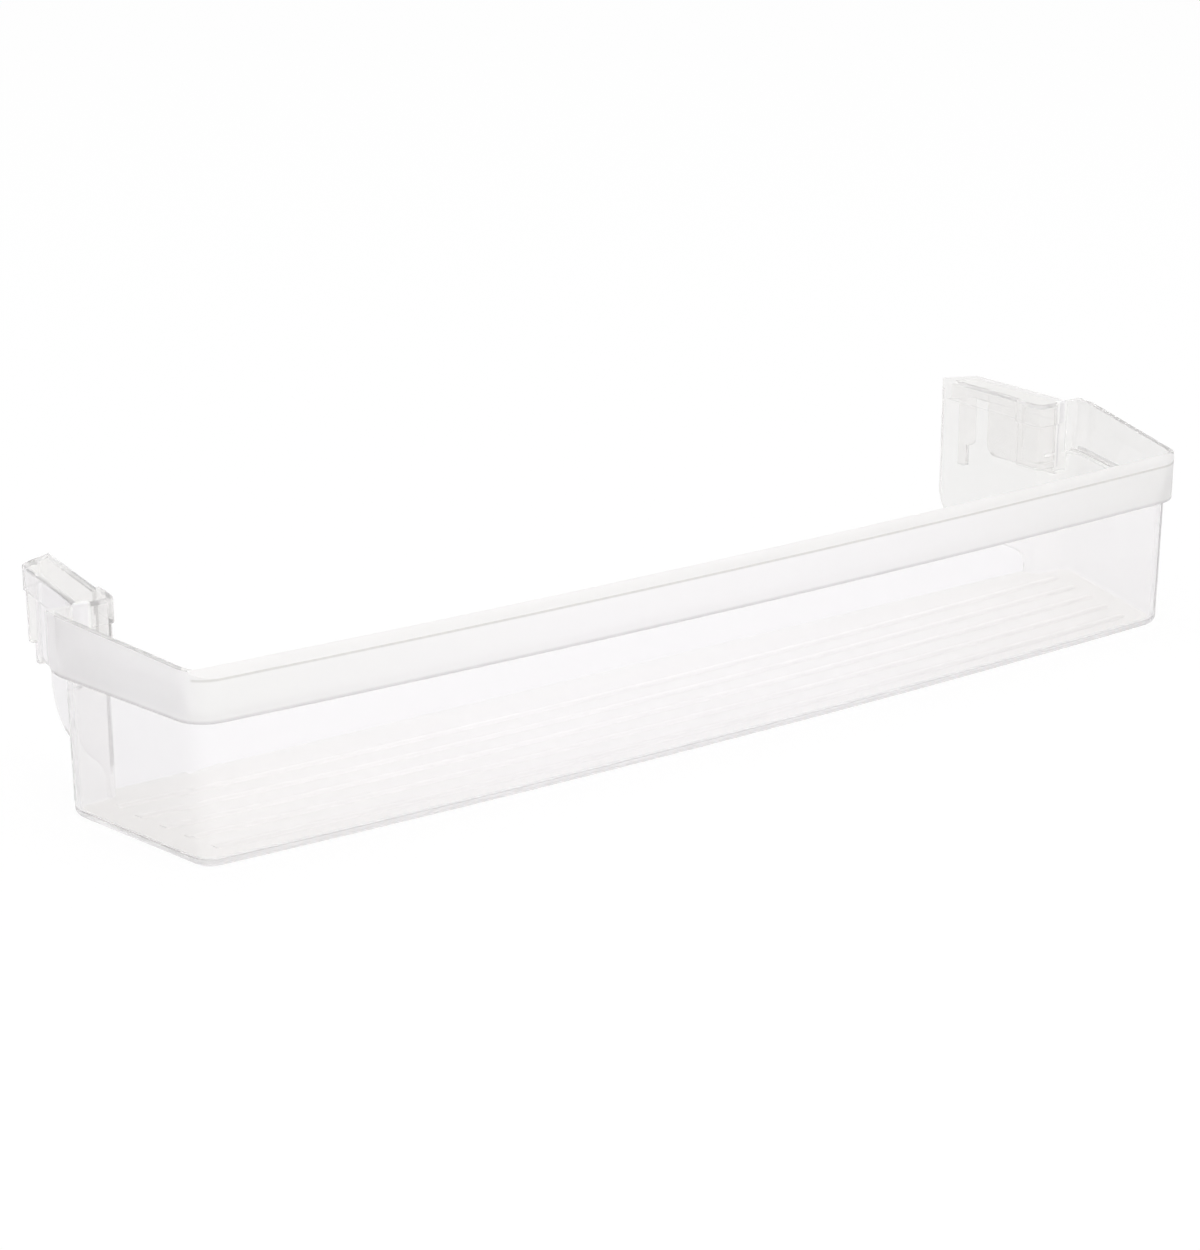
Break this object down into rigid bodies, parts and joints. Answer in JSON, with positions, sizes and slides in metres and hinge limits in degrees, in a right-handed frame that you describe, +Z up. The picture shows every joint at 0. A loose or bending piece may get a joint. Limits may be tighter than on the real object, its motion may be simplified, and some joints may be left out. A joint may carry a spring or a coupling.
{
  "type": "refrigerator door shelf",
  "caption": "Long clear moulded fridge door shelf with a bowed front wall, a raised rim band, a ribbed floor and a hook at each end that drops over the door liner.",
  "frame": {"origin": "centre of the bounding box on the plane of the base", "axes": "+X along the shelf to the right seen from the front, +Y towards the fridge door, +Z up"},
  "size_m": [0.4966, 0.1444, 0.0799],
  "materials": {
    "clear_plastic": "clear, slightly milky gloss moulding"
  },
  "bodies": {
    "root": {"door_shelf": "clear_plastic"}
  },
  "joints": []
}
